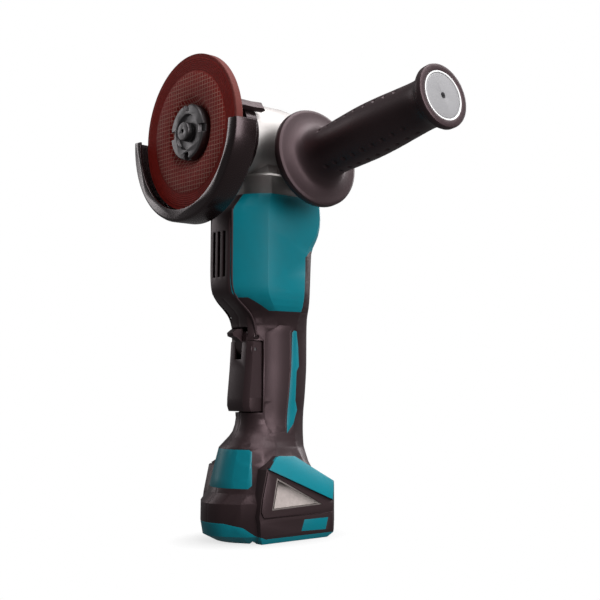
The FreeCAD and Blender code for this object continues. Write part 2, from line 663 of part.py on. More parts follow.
def rotor_core():
    return turned_z([(MOTOR_SHAFT_R, STATOR_BOTTOM_Z), (13.7, STATOR_BOTTOM_Z), (13.7, STATOR_TOP_Z),
                     (MOTOR_SHAFT_R, STATOR_TOP_Z)])


def cooling_fan():
    hub = turned_z([(MOTOR_SHAFT_R, FAN_Z - 4), (8, FAN_Z - 4), (8, FAN_Z), (23.5, FAN_Z),
                    (23.5, FAN_Z + 1.4), (9, FAN_Z + 2),
                    (7.5, FAN_Z + 9), (MOTOR_SHAFT_R, FAN_Z + 9)])
    blade = box(9.5, 23, -0.7, 0.7, FAN_Z + 1, FAN_Z + 8.5)
    blade.rotate(V(9.5, 0, 0), Z_AXIS, 28)
    blade = blade.common(rod_z(23.2, FAN_Z, FAN_Z + 9))
    return fuse_all([hub] + around(blade, 13, V(0, 0, 0), Z_AXIS))


def baffle_plate():
    """The ring that guides the air into the fan."""
    plate = body_form(SHELL + 0.1).common(box(-40, 40, -27, 40, 239, 240.6))
    return plate.cut(rod_z(12, 235, 245))


def flange_screw_ways():
    return [rod_z(2.0, 242, 256, x, y) for x, y in REAR_FLANGE_SCREWS + FRONT_FLANGE_SCREWS]


# ---------------------------------------------------------------- motor housing and its covers

FRONT_COVER_HALF = 12.2


def below_housing():
    """The YZ region of the handle shells, under the stepped lower edge of the motor housing."""
    return prism_yz([(-70, -5), (-70, 177.5), (-36, 177.5), (-19, 168.2), (9.5, 168.2), (9.5, 168.0),
                     (70, 168.0),
                     (70, -5)], -60, 60)


def rear_zone():
    return prism_yz([(9.5, 168.0), (70, 168.0), (70, 215), (17, 215), (9.5, 209.5)], -60, 60)


def front_zone():
    return box(-FRONT_COVER_HALF, FRONT_COVER_HALF, -70, -29, 177.5, 256)


def motor_shell():
    return body_form().cut(body_form(SHELL))


def motor_housing():
    """The coloured barrel: its skin, the seat of the stator and the end wall of the rear bearing."""
    zones = [below_housing(), rear_zone(), front_zone()]
    skin = motor_shell().cut(zones)
    inside = body_form(SHELL)
    seat = tube(27.8, STATOR_R, V(0, 0, 184), V(0, 0, 220))
    wall = rod_z(27.8, 178, 184).cut([rod_z(11, 177, 184.5), *around(rod_z(4.6, 177, 185, 17.5, 0), 6,
                                                                     V(0, 0, 0), Z_AXIS)])
    lip = rod_z(12.6, 176.5, 178).cut(rod_z(9, 176, 179))
    pillars = [rod_z(6.8, 242, 255, x, y) for x, y in REAR_FLANGE_SCREWS]
    pillars += [rod_z(6.8, 249, 255, x, y) for x, y in FRONT_FLANGE_SCREWS]
    inner = fuse_all([seat, wall, lip] + pillars).common(inside).cut(rod_z(11, 177, 184.5))
    return skin.fuse(inner).cut(flange_screw_ways()).cut(zones)


def front_cover():
    """The dark nose in front of the motor, with its air outlets."""
    nose = motor_shell().common(front_zone())
    slots = [box(x - 1.7, x + 1.7, -60, -40, 193, 227) for x in (-6.2, 0, 6.2)]
    return nose.cut(slots)


def rear_cover():
    return motor_shell().common(rear_zone())


# ---------------------------------------------------------------- handle and foot

GRIP_FRONT_Y = -19.0            # front edge of the grip's side walls beside the paddle
WELL_HALF = 13.7                # half width of the well that the paddle moves in
WELL_BACK_Y = -10.6
WELL_LOW_Z = 93.0
WELL_HIGH_Z = 146.4
CHEEK_HALF = 9.7                # half width of the slot between the cheeks at the pivot
PLUNGER_Z = 118.0
SCREW_SITES = [(12.0, 160.0, 18.6), (14.0, 133.0, 15.6),
               (12.0, 73.0, 14.6)]  # y, z, depth of the head's seat


def foot_outer():
    return form(FOOT_STATIONS).fuse(saddle_form())


def foot_inner():
    front = form(FOOT_STATIONS, SHELL)
    hollow = front.fuse(saddle_form(4.6))
    return hollow.common(box(-60, 60, -60, 60, BAY_TOP_Z + 2.6, 70))


def battery_bay():
    """The space that the battery's rails slide into from the rear."""
    channel = box(-BAY_HALF, BAY_HALF, BAY_FRONT_Y, 60, -1, BAY_TOP_Z)
    grooves = box(-30.6, 30.6, BAY_FRONT_Y + 6, 60, 4.5, 11)
    return channel.fuse(grooves)


def side_pocket(outline, x0, x1):
    pocket = prism_yz(outline, x0, x1)
    return [pocket, mirrored(pocket)]


COVER_GAP = 0.9                 # shadow gap round a dust cover
COVER_OUTLINE = [(-30.2, 54.6), (-35.6, 33.0), (-37.2, 23.0), (-34.4, 18.2), (33.0, 18.2), (33.0, 28.0)]
MESH_OUTLINE = [(-20.8, 44.8), (-24.8, 25.2), (17.0, 26.2)]
WINDOW_OUTLINE = [(-22.0, 47.2), (-26.6, 23.9), (21.4, 25.0)]
ACCENT_OUTLINE = [(4.2, 153.0), (5.6, 154.4), (8.6, 153.8), (11.1, 142.0), (12.3, 127.5), (9.3, 123.5),
                  (8.8, 102.0),
                  (11.8, 94.5), (6.6, 84.0), (0.2, 77.5), (1.4, 94.5), (3.6, 125.0)]
PAD_OUTLINE = [(-18.0, 152.0), (-8.0, 158.0), (2.0, 158.0), (2.4, 125.0), (0.2, 95.0), (-1.4, 79.0),
               (-13.0, 78.0),
               (-17.4, 84.0), (-18.4, 92.0)]
SIGN_OUTLINE = [(3.4, 15.2), (26.6, 15.2), (25.0, 6.4), (1.4, 7.0)]
PANEL_OUTLINE = [(-19.0, 66.6), (19.0, 66.6), (20.6, 65.2), (25.2, 41.4), (23.8, 39.0), (-23.8, 39.0),
                 (-25.2, 41.4), (-20.6, 65.2)]
SKIRT_OUTLINE = [(-70, -1), (-70, 15.4), (-54, 14.8), (-45, 12.0), (-37, 6.0), (-31, 3.8), (50, 3.6),
                 (50, -1)]


def surface_patch(outer, inner, zone):
    """The part of a skin between two forms that lies in a zone."""
    return outer.common(zone).cut(inner)


def grip_accent(side):
    zone = prism_yz(ACCENT_OUTLINE, 8, 40)
    patch = surface_patch(body_form(), body_form(1.2), zone)
    return patch if side > 0 else mirrored(patch)


def grip_pad(side):
    zone = prism_yz(PAD_OUTLINE, WELL_HALF + 0.8, 40)
    patch = surface_patch(body_form(), body_form(1.0), zone)
    return patch if side > 0 else mirrored(patch)


def foot_panel():
    zone = prism_xz(PANEL_OUTLINE, -70, -22)
    return surface_patch(form(FOOT_STATIONS), form(FOOT_STATIONS, 1.3), zone)


def foot_skirt():
    shell = foot_outer().cut([battery_bay(), foot_inner()])
    return shell.common(prism_yz(SKIRT_OUTLINE, -60, 60))


def dust_cover(side):
    """The clip-on frame over an air inlet."""
    outline = Part.makePolygon([V(34.0, y, z) for y, z in COVER_OUTLINE + COVER_OUTLINE[:1]])
    inner = Part.Face(outline.makeOffset2D(-COVER_GAP, 2))
    plate = saddle_form(0.2).common(inner.extrude(V(6, 0, 0)))
    frame = plate.cut([prism_yz(WINDOW_OUTLINE, 30, 40), roof_slab()])
    return frame if side > 0 else mirrored(frame)


def mesh_screen(side):
    plate = prism_yz(WINDOW_OUTLINE, 34.2, 34.9).fuse(prism_yz(MESH_OUTLINE, 34.9, 35.5))
    return plate if side > 0 else mirrored(plate)


def roof_slab():
    """A slab just under the sloping side facet of the foot."""
    points = [V(36, -28, 54), V(36, 31.5, 28.5), V(29, 0, 61.4)]
    normal = (points[1] - points[0]).cross(points[2] - points[0]).normalize()
    sheet = Part.makePlane(200, 200, points[0], normal)
    sheet.translate(points[0] - sheet.CenterOfMass)
    return sheet.extrude(normal * -1.8)


def roof_trim(side):
    zone = prism_yz([(-29.6, 53.2), (-20, 61.2), (-12, 63), (2, 63), (38, 44), (36.5, 40), (36.0, 26.0)],
                    24, 40)
    trim = saddle_form().common(zone).common(roof_slab())
    return trim if side > 0 else mirrored(trim)


def base_sign(side):
    """The small plain badge low on the foot's side."""
    zone = prism_yz(SIGN_OUTLINE, 30, 40)
    patch = surface_patch(saddle_form(), saddle_form(1.1), zone)
    return patch if side > 0 else mirrored(patch)


def paddle_opening():
    """Everything that has to be clear in front of and beside the paddle."""
    front = box(-40, 40, -60, GRIP_FRONT_Y, WELL_LOW_Z, WELL_HIGH_Z)
    well = box(-WELL_HALF, WELL_HALF, -60, WELL_BACK_Y, WELL_LOW_Z, WELL_HIGH_Z)
    slot = box(-CHEEK_HALF, CHEEK_HALF, -60, WELL_BACK_Y, WELL_LOW_Z, 156.5)
    return front.fuse(well).fuse(slot)


def handle_block():
    """Both handle shells together, before they are parted."""
    outer = body_form()
    inner = body_form(SHELL)
    grip = outer.cut(inner).common(below_housing())
    wall = box(-40, 40, WELL_BACK_Y, WELL_BACK_Y + 1.8, WELL_LOW_Z - 1.8, 158.5)
    sills = [box(-40, 40, -60, WELL_BACK_Y + 1, WELL_LOW_Z - 1.8, WELL_LOW_Z),
             box(-40, 40, -60, WELL_BACK_Y + 1, WELL_HIGH_Z, WELL_HIGH_Z + 1.8),
             box(-40, 40, -60, WELL_BACK_Y + 1, 156.5, 158.3)]
    cheeks = box(CHEEK_HALF, 14.6, -60, WELL_BACK_Y + 1, WELL_HIGH_Z, 157)
    walls = fuse_all([wall, cheeks, mirrored(cheeks)] + sills).common(outer)
    posts = [rod_x(4.4, -40, 40, y, z) for y, z, _ in SCREW_SITES]
    posts = fuse_all(posts).common(outer)
    grip = grip.multiFuse([walls, posts]).cut(paddle_opening())

    foot = foot_outer().cut([foot_inner(), battery_bay()])
    neck_way = body_form(SHELL).common(box(-60, 60, -60, 60, 66, 70))
    block = grip.fuse(foot)
    throat = station_prism(BODY_STATIONS[-1], SHELL + 0.6, 54, 67.5)
    return block.cut([neck_way, throat])


def station_prism(station, inset, z0, z1):
    """A cross-section carried straight between two heights."""
    z, *_ = station
    prism = Part.Face(station_wire(station, inset)).extrude(V(0, 0, z1 - z0))
    prism.translate(V(0, 0, z0 - z))
    return prism


def handle_shells():
    """The left and right shells, parted on the tool's middle plane."""
    trims = [grip_accent(1), grip_accent(-1), grip_pad(1), grip_pad(-1), foot_panel(), foot_skirt(),
             roof_trim(1), roof_trim(-1), base_sign(1), base_sign(-1)]
    covers = side_pocket(COVER_OUTLINE, 34.0, 40)
    windows = side_pocket(WINDOW_OUTLINE, 20, 40)
    pivot = rod_x(2.0, -17, 17, PIVOT_Y, PIVOT_Z)
    plunger = rod_y(2.8, -14, -4, 0, PLUNGER_Z)
    lead_in = box(-16, 16, -31, -9, BAY_TOP_Z - 1, BAY_TOP_Z + 4)
    screws = [rod_x(1.6, -40, 12, y, z) for y, z, _ in SCREW_SITES]
    heads = [rod_x(3.2, -40, -seat, y, z) for y, z, seat in SCREW_SITES]
    block = handle_block().cut(trims).cut(covers + windows + [pivot, plunger, lead_in] + screws + heads)
    left = block.common(box(-80, 0, -90, 90, -5, 200))
    right = block.common(box(0, 80, -90, 90, -5, 200))
    return left, right


def shell_screws():
    screws = []
    for y, z, seat in SCREW_SITES:
        head = rod_x(3.0, -seat - 2.2, -seat, y, z).cut(rod_x(1.4, -seat - 3, -seat - 0.8, y, z))
        screws.append(head.fuse(rod_x(1.6, -seat, 11.5, y, z)))
    return Part.makeCompound(screws)


# ---------------------------------------------------------------- paddle and switch

def paddle_lever():
    """The paddle: a channel that nests in the grip's well, with a tongue up between the cheeks."""
    def ring(z, front, half, inset, back):
        shoulder = half - inset
        points = [(-shoulder, back), (-shoulder, front + 3.8), (-shoulder + 3.6, front + inset),
                  (shoulder - 3.6, front + inset), (shoulder, front + 3.8), (shoulder, back)]
        return Part.makePolygon([V(x, y, z) for x, y in points + points[:1]])

    levels = [(PADDLE_BOTTOM_Z, -32.6, 13.1), (98.0, -34.0, 13.2), (104.0, -33.8, 13.3),
              (125.0, -31.8, 13.3),
              (145.8, -30.4, 13.3)]
    shape = Part.makeLoft([ring(z, front, half, 0, -16.4) for z, front, half in levels], True, True)
    hollow = [(PADDLE_BOTTOM_Z + 2, -32.6, 13.1)] + levels[1:4] + [(143.5, -30.6, 13.3)]
    cavity = Part.makeLoft([ring(z, front, half, 2.2, -15) for z, front, half in hollow], True, True)
    tongue = prism_yz([(-30.0, 141), (-30.0, 150), (-28.6, 153), (-24.5, 154), (-21, 152.5), (-18.5, 148),
                       (-18.5, 141)], -9.3, 9.3)
    pusher = box(-3, 3, -31, -19.6, PLUNGER_Z - 2, PLUNGER_Z + 2)
    bosses = [rod_x(3.4, x, x + 4.2, LOCK_PIVOT_Y, LOCK_PIVOT_Z) for x in (-12.6, 8.4)]
    body = shape.cut(cavity).multiFuse([tongue, pusher] + bosses)
    slot = box(-4.2, 4.2, -60, -14, 132.5, 160)
    ways = [rod_x(2.0 + RUN, -20, 20, PIVOT_Y, PIVOT_Z), rod_x(1.25, -20, 20, LOCK_PIVOT_Y, LOCK_PIVOT_Z)]
    spring_pocket = rod_x(2.9, 4.1, 8.4, LOCK_PIVOT_Y, LOCK_PIVOT_Z)
    return body.cut([slot, spring_pocket] + ways)


def paddle_pivot_pin():
    return rod_x(2.0, -13.6, 13.6, PIVOT_Y, PIVOT_Z)


def paddle_spring():
    return coil(3.0, 0.5, 18.6, 6, V(0, WELL_BACK_Y - 0.6, 106), V(0, -1, 0))


def lock_off_lever():
    """The thumb catch that has to be tipped before the paddle will close."""
    outline = [(-28.0, 136.0), (-30.4, 141.0), (-30.8, 145.8), (-34.6, 148.6), (-38.2, 149.6),
               (-38.8, 152.2), (-35.0, 155.0),
               (-29.6, 155.4), (-28.2, 151.0), (-27.4, 145.6), (-22.8, 142.4), (-22.0, 138.0),
               (-24.4, 134.8)]
    catch = prism_yz(outline, -3.7, 3.7)
    return catch.cut(rod_x(1.2 + RUN, -10, 10, LOCK_PIVOT_Y, LOCK_PIVOT_Z))


def lock_off_pin():
    return rod_x(1.2, -12.8, 12.8, LOCK_PIVOT_Y, LOCK_PIVOT_Z)


def lock_off_spring():
    return coil(2.2, 0.35, 3.0, 3, V(4.9, LOCK_PIVOT_Y, LOCK_PIVOT_Z), X_AXIS)


def switch_body():
    body = box(-8, 8, -8.2, 12, 106, 130)
    rim = box(-5, 5, -8.6, -8.2, PLUNGER_Z - 5, PLUNGER_Z + 5)
    return body.fuse(rim).cut(rod_y(2.5 + RUN, -10, 2, 0, PLUNGER_Z))


def switch_plunger():
    stem = rod_y(2.5, -15, -3.2, 0, PLUNGER_Z)
    button = turned([(0, -19.2), (1.8, -19.2), (3.2, -18.2), (3.2, -15), (0, -15)], V(0, 0, PLUNGER_Z),
                    Y_AXIS, X_AXIS)
    return stem.fuse(button)


def controller_case():
    tray = box(-20, 20, -22, 14, 26, 40)
    return tray.cut(box(-18.4, 18.4, -20.4, 12.4, 28, 41))


def controller_board():
    board = box(-18.2, 18.2, -20.2, 12.2, 30, 31.6)
    chips = [box(x - 2.6, x + 2.6, -15, -8, 31.6, 33.2) for x in (-14, -7, 0, 7, 14)]
    capacitor = rod_x(4.2, -12, 12, 4, 35.5)
    posts = [box(x - 1.5, x + 1.5, 9, 12, 28, 30) for x in (-15, 15)]
    return board.multiFuse(chips + posts + [capacitor])


def terminal_block():
    block = box(-15.5, 15.5, -30, 2, 8, BAY_TOP_Z)
    plug = box(-13, 13, -28, -11, BAY_TOP_Z, BAY_TOP_Z + 3.2)
    slots = [box(x - 1.4, x + 1.4, -18, 3, 7, 17) for x in CONTACT_X]
    return block.fuse(plug).cut(slots)


CONTACT_X = (-11.0, -3.4, 3.4, 11.0)


def battery_contacts():
    return Part.makeCompound([box(x - 0.5, x + 0.5, -18, 0, 9.5, 17) for x in CONTACT_X])


# ---------------------------------------------------------------- side handle

def on_handle(profile):
    """Turned about the side handle's axis, from (radius, distance along it) pairs."""
    return turned(profile, V(0, 0, HANDLE_Z), handle_axis(1), Y_AXIS)


GRIP_WAIST = [(20.4, 60.5), (18.5, 66.0), (18.1, 76.0), (18.8, 92.0), (19.4, 112.0), (18.8, 130.0),
              (17.7, 148.0),
              (16.9, 163.0), (17.8, 171.0)]


def side_handle_grip():
    axis = handle_axis(1)

    def at(radius, s):
        return along_handle(s) + Y_AXIS * radius

    waist = Part.BSplineCurve()
    waist.interpolate([at(r, s) for r, s in GRIP_WAIST])
    head = [(STUD_R, BOSS_END + 0.3), (15, BOSS_END + 0.3), (16.5, FLANGE_BACK - 0.6),
            (FLANGE_R - 1.5, FLANGE_BACK),
            (FLANGE_R, FLANGE_BACK + 1.2), (FLANGE_R, FLANGE_FRONT - 1), (FLANGE_R - 0.8, FLANGE_FRONT),
            (25.0, FLANGE_FRONT + 0.6), GRIP_WAIST[0]]
    tail = [GRIP_WAIST[-1], (21.0, 175.6), (GRIP_END_R, 177.4), (GRIP_END_R, 181.6), (21.2, GRIP_END),
            (17.4, GRIP_END),
            (CAP_R + 0.3, 181.4), (CAP_R + 0.3, 176.0), (STUD_R, 176.0)]
    edges = [Part.makeLine(at(*a), at(*b)) for a, b in zip(head, head[1:])]
    edges.append(waist.toShape())
    edges += [Part.makeLine(at(*a), at(*b)) for a, b in zip(tail, tail[1:])]
    edges.append(Part.makeLine(at(*tail[-1]), at(*head[0])))
    solid = Part.Face(Part.Wire(edges)).revolve(V(0, 0, HANDLE_Z), axis, 360)
    collar_space = on_handle([(0, 58), (8, 58), (8, 66), (0, 66)])
    return solid.cut([collar_space, rod(CAP_R, along_handle(174), along_handle(176.2))])


def side_handle_stud():
    stud = rod(STUD_R, along_handle(27), along_handle(110))
    collar = on_handle([(0, 58), (8, 58), (8, 66), (0, 66)])
    return stud.fuse(collar)


def side_handle_cap():
    return on_handle([(2.1, 174.2), (CAP_R - 0.2, 174.2), (CAP_R, 175), (CAP_R, 181.2),
                      (CAP_R - 0.6, 181.8), (2.1, 181.8)])


# ---------------------------------------------------------------- write every node

def bearing_places():
    """Shaft radius, outer radius, start, end, ball radius and number of balls."""
    return {
        "spindle_bearing": (7.5, 17.5, V(0, -55.5, SPINDLE_Z), V(0, -44.5, SPINDLE_Z), 2.4, 9),
        "motor_front_bearing": (MOTOR_SHAFT_R, 11.0, V(0, 0, 259), V(0, 0, 266), 1.8, 8),
        "motor_rear_bearing": (MOTOR_SHAFT_R, 11.0, V(0, 0, 177), V(0, 0, 184), 1.8, 8),
    }


def make_parts():
    left_shell, right_shell = handle_shells()
    parts = {
        "grinding_wheel": grinding_wheel(), "wheel_centre_ring": wheel_centre_ring(),
        "lock_nut": lock_nut(),
        "inner_flange": inner_flange(), "spindle": spindle(), "gear_spacer": gear_spacer(),
        "crown_gear": crown_gear(), "spindle_needle_bearing": needle_bearing(),
        "bearing_box": bearing_box(),
        "bearing_box_screws": bearing_box_screws(), "dust_seal": dust_seal(),
        "bearing_retainer": bearing_retainer(),
        "gear_housing": gear_housing(), "gear_housing_screws": gear_housing_screws(),
        "shaft_lock_button": shaft_lock_button(), "shaft_lock_spring": shaft_lock_spring(),
        "wheel_guard": wheel_guard(), "guard_clamp_band": guard_clamp_band(),
        "guard_clamp_screw": guard_clamp_screw(),
        "guard_clamp_lever": guard_clamp_lever(),
        "pinion": pinion(), "rotor_shaft": rotor_shaft(), "rotor_core": rotor_core(),
        "cooling_fan": cooling_fan(),
        "stator_core": stator_core(), "stator_coils": stator_coils(), "baffle_plate": baffle_plate(),
        "motor_housing": motor_housing(), "front_cover": front_cover(), "rear_cover": rear_cover(),
        "handle_shell_left": left_shell, "handle_shell_right": right_shell, "shell_screws": shell_screws(),
        "foot_panel": foot_panel(), "foot_skirt": foot_skirt(),
        "paddle_lever": paddle_lever(), "paddle_pivot_pin": paddle_pivot_pin(),
        "paddle_spring": paddle_spring(),
        "lock_off_lever": lock_off_lever(), "lock_off_pin": lock_off_pin(),
        "lock_off_spring": lock_off_spring(),
        "switch_body": switch_body(), "switch_plunger": switch_plunger(),
        "controller_case": controller_case(),
        "controller_board": controller_board(), "terminal_block": terminal_block(),
        "battery_contacts": battery_contacts(), "side_handle_grip": side_handle_grip(),
        "side_handle_stud": side_handle_stud(), "side_handle_cap": side_handle_cap(),
    }
    for name, (shaft_r, outer_r, start, end, ball_r, balls) in bearing_places().items():
        parts[name] = bearing_outer(shaft_r, outer_r, start, end, ball_r, balls)
        parts[name + "_inner"] = bearing_inner(shaft_r, outer_r, start, end, ball_r)
    pairs = {
        "side_trims": (grip_accent, roof_trim, base_sign), "grip_pads": (grip_pad,),
        "dust_covers": (dust_cover,), "mesh_screens": (mesh_screen,),
    }
    for name, pieces in pairs.items():
        parts[name] = Part.makeCompound([piece(side) for piece in pieces for side in (-1, 1)])
    return parts


def main():
    os.makedirs("parts", exist_ok=True)
    for name, shape in make_parts().items():
        solids = shape.Solids
        assert solids and all(solid.isValid() for solid in solids), name
        shape.exportStep("parts/" + name + ".step")
        print(name, len(solids), round(sum(solid.Volume for solid in solids)))


main()
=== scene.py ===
# %% [markdown]
# # Finishing a cordless angle grinder
# The metal and plastic parts of this tool arrive as a finished mechanical model. This notebook gives them
# their surfaces: it loads the model, rounds the edges of the parts that show, replaces the few shapes that a
# mesh tool makes better (the abrasive wheel, the dimpled side handle, the screens), and paints
# everything with procedural materials.

# %% Load the mechanical model
import json
import math

import bmesh
import bpy
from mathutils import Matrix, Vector


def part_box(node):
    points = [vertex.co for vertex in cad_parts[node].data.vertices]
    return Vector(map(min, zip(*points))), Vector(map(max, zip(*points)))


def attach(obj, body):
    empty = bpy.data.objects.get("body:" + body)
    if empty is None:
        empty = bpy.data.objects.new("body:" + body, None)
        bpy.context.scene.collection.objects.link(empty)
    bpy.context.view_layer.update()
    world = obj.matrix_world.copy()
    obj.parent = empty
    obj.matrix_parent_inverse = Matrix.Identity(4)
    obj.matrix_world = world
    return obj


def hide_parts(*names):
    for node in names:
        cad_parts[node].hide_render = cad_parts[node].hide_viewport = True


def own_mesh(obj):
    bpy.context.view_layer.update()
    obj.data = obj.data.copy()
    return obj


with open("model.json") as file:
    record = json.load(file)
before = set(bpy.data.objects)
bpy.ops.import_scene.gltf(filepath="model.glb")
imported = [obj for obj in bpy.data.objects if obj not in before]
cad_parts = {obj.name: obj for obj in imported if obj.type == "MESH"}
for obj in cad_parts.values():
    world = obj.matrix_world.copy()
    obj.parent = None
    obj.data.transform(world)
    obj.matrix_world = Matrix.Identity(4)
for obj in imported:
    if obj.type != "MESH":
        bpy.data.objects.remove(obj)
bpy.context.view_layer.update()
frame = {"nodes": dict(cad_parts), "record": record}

MM = 0.001
slot_of = {part["node"]: part["material_slot"] for part in frame["record"]["subparts"]}
body_of = {node: body for body, nodes in frame["record"]["behaviour"]["bodies"].items() for node in nodes}

# %% [markdown]
# ## Where the camera stands
# The camera goes in first, because every later choice of detail depends on how large a part is in the
# picture. It stands low in front of the tool's right side and looks slightly up, like a product shot that
# wants to make the tool look tall. A lens of medium length keeps the perspective gentle.

# %% Camera
CAMERA_PLACE = Vector((0.63087, -0.50002, 0.11522))
camera_data = bpy.data.cameras.new("camera")
camera_data.sensor_width = 36.0
camera_data.lens = 63.0
camera = bpy.data.objects.new("camera", camera_data)
camera.location = CAMERA_PLACE
camera.rotation_euler = (math.radians(94.5), 0.0, math.radians(50.0))
bpy.context.scene.collection.objects.link(camera)
bpy.context.scene.camera = camera
print("camera at", [round(v, 3) for v in CAMERA_PLACE])

# %% [markdown]
# ## Lights
# A white room and large soft lamps give long, quiet highlights on black rubber and bright metal. One broad
# lamp hangs overhead, a narrow one stands on each side, and one behind the tool draws the edges.
# Black parts only stay black if the room itself is dim to them, so its light is cut for everything but
# the eye.

# %% Soft lamps
def soft_lamp(name, place, target, size, power):
    data = bpy.data.lights.new(name, "AREA")
    data.shape = "RECTANGLE"
    data.size, data.size_y = size
    data.energy = power
    lamp = bpy.data.objects.new(name, data)
    lamp.location = place
    lamp.rotation_euler = (Vector(target) - Vector(place)).to_track_quat("-Z", "Y").to_euler()
    bpy.context.scene.collection.objects.link(lamp)
    return lamp


def white_room(seen, felt):
    """A room that looks white to the eye but lends the tool only part of that light."""
    world = bpy.data.worlds.new("white_room")
    world.use_nodes = True
    tree = world.node_tree
    eye = tree.nodes.new("ShaderNodeLightPath").outputs["Is Camera Ray"]
    strength = tree.nodes.new("ShaderNodeMapRange")
    tree.links.new(eye, strength.inputs["Value"])
    strength.inputs["To Min"].default_value = felt
    strength.inputs["To Max"].default_value = seen
    tree.links.new(strength.outputs["Result"], tree.nodes["Background"].inputs["Strength"])
    tree.nodes["Background"].inputs["Color"].default_value = (1, 1, 1, 1)
    bpy.context.scene.world = world


white_room(seen=1.0, felt=0.15)
middle = (30 * MM, -20 * MM, 200 * MM)
soft_lamp("overhead", (0.35, 0.2, 1.5), middle, (1.5, 1.2), 30)
soft_lamp("right_side", (1.5, 0.05, 0.6), middle, (0.9, 1.3), 24)
soft_lamp("left_edge", (-1.2, -0.5, 0.7), middle, (0.3, 1.0), 3)
soft_lamp("rear_rim", (-0.2, 1.2, 0.8), middle, (1.0, 0.8), 14)
bpy.context.scene.view_settings.view_transform = "Standard"
print("4 lamps")

# %% [markdown]
# ## A small language for materials
# Each finish below is a few lines of arithmetic on noise and position. Blender builds such sums out of Math
# nodes, which takes many lines. One class wraps a node's output so that `a * b + 1` adds the nodes, and a
# second class holds a material and makes any other node with a single method.

# %% Numbers that vary over a surface
class Varying:
    """An output socket that can be written in sums."""

    def __init__(self, finish, socket):
        self.finish = finish
        self.socket = socket

    def math(self, operation, *values):
        return self.finish.node("Math", {"operation": operation}, dict(enumerate(values)))

    def __add__(self, other):
        return self.math("ADD", self, other)

    def __sub__(self, other):
        return self.math("SUBTRACT", self, other)

    def __rsub__(self, other):
        return self.math("SUBTRACT", other, self)

    def __mul__(self, other):
        return self.math("MULTIPLY", self, other)

    def __truediv__(self, other):
        return self.math("DIVIDE", self, other)

    def __pow__(self, other):
        return self.math("POWER", self, other)

    __radd__ = __add__
    __rmul__ = __mul__

    def above(self, limit):
        return self.math("GREATER_THAN", self, limit)

    def sine(self):
        return self.math("SINE", self)

    def clamped(self):
        return self.finish.node("Clamp", {}, {"Value": self})


class Finish:
    """One material: fixed values go on its shader, and varying ones come from nodes."""

    def __init__(self, name, **fixed):
        self.material = bpy.data.materials.new(name)
        self.material.use_nodes = True
        self.tree = self.material.node_tree
        self.shader = self.tree.nodes["Principled BSDF"]
        for socket, value in fixed.items():
            self.shader.inputs[socket.replace("_", " ")].default_value = value
        self.place = self.node("TexCoord", output="Object")

    def node(self, kind, settings=None, inputs=None, output=0):
        node = self.tree.nodes.new("ShaderNode" + kind)
        for name, value in (settings or {}).items():
            setattr(node, name, value)
        for name, value in (inputs or {}).items():
            self.feed(node.inputs[name], value)
        return Varying(self, node.outputs[output])

    def feed(self, socket, value):
        if isinstance(value, Varying):
            self.tree.links.new(value.socket, socket)
        else:
            socket.default_value = value

    def drive(self, socket, value):
        self.feed(self.shader.inputs[socket], value)

    def noise(self, size, detail=2.0):
        """Soft noise from 0 to 1 whose features are about `size` metres across."""
        inputs = {"Vector": self.place, "Scale": 1 / size, "Detail": detail}
        return self.node("TexNoise", {}, inputs)

    def axes(self):
        """The x, y and z of each point, in metres."""
        split = self.node("SeparateXYZ", {}, {"Vector": self.place}).socket.node
        return [Varying(self, socket) for socket in split.outputs]

    def mixed(self, factor, first, second):
        """One colour turning into another as the factor goes from 0 to 1."""
        return self.node("Mix", {"data_type": "RGBA"}, {0: factor, 6: first, 7: second}, output=2)

    def relief(self, height, depth, strength=1.0):
        """Bumps of the given depth in metres where height goes from 0 to 1."""
        bump = self.node("Bump", {}, {"Strength": strength, "Distance": depth, "Height": height})
        self.drive("Normal", bump)


print("material helpers ready")

# %% [markdown]
# ## Moulded plastics
# Power tool shells are glass-filled nylon from a spark-eroded mould: a fine even grain that breaks up
# highlights, and a base colour that is never quite uniform. A noise with features of a third of a millimetre
# gives the grain, and a broad, faint one varies the gloss where hands have polished it. The black parts are
# a warm black, so even their highlights are tinted.

# %% Coloured shell, black shell, soft grip
def moulded(name, colour, gloss, grain_depth, grain_size=0.35 * MM, shade=0.82, **fixed):
    """Spark-textured plastic."""
    finish = Finish(name, **fixed)
    broad = finish.noise(14 * MM, 3.0)
    grain = finish.noise(grain_size, 2.0)
    darker = tuple(channel * shade for channel in colour)
    finish.drive("Base Color", finish.mixed(broad, (*colour, 1), (*darker, 1)))
    finish.drive("Roughness", gloss + (broad - 0.5) * 0.12 + (grain - 0.5) * 0.08)
    finish.relief(grain, grain_depth, 0.6)
    return finish.material


WARM = (1.0, 0.72, 0.78, 1)
FINISHES = {
    "coloured_housing": moulded("blue_green_nylon", (0.0, 0.185, 0.235), 0.38, 0.03 * MM,
                                Specular_IOR_Level=0.3),
    "black_plastic": moulded("black_nylon", (0.021, 0.0125, 0.0135), 0.40, 0.035 * MM, Specular_Tint=WARM),
    "soft_grip": moulded("soft_rubber", (0.027, 0.0165, 0.018), 0.46, 0.05 * MM, 0.5 * MM,
                         Specular_Tint=WARM),
    "cap_plastic": moulded("grey_cap_plastic", (0.29, 0.285, 0.295), 0.4, 0.02 * MM),
    "white_ring": moulded("white_ring_plastic", (0.85, 0.85, 0.85), 0.35, 0.01 * MM),
}
print(len(FINISHES), "plastics")

# %% [markdown]
# ## Metals
# The head is die-cast aluminium, blasted with beads and lacquered: bright but not mirror-like, with a soft
# orange-peel surface. Turned steel carries faint rings about the spindle, which is a sine of the
# distance from its axis. Black pressed steel is a satin paint over slightly wavy sheet.

# %% Cast, turned, coated and hardened metal
SPINDLE_Z = next(joint["pos_m"][2] for joint in frame["record"]["behaviour"]["joints"]
                 if joint["name"] == "spindle_spin")


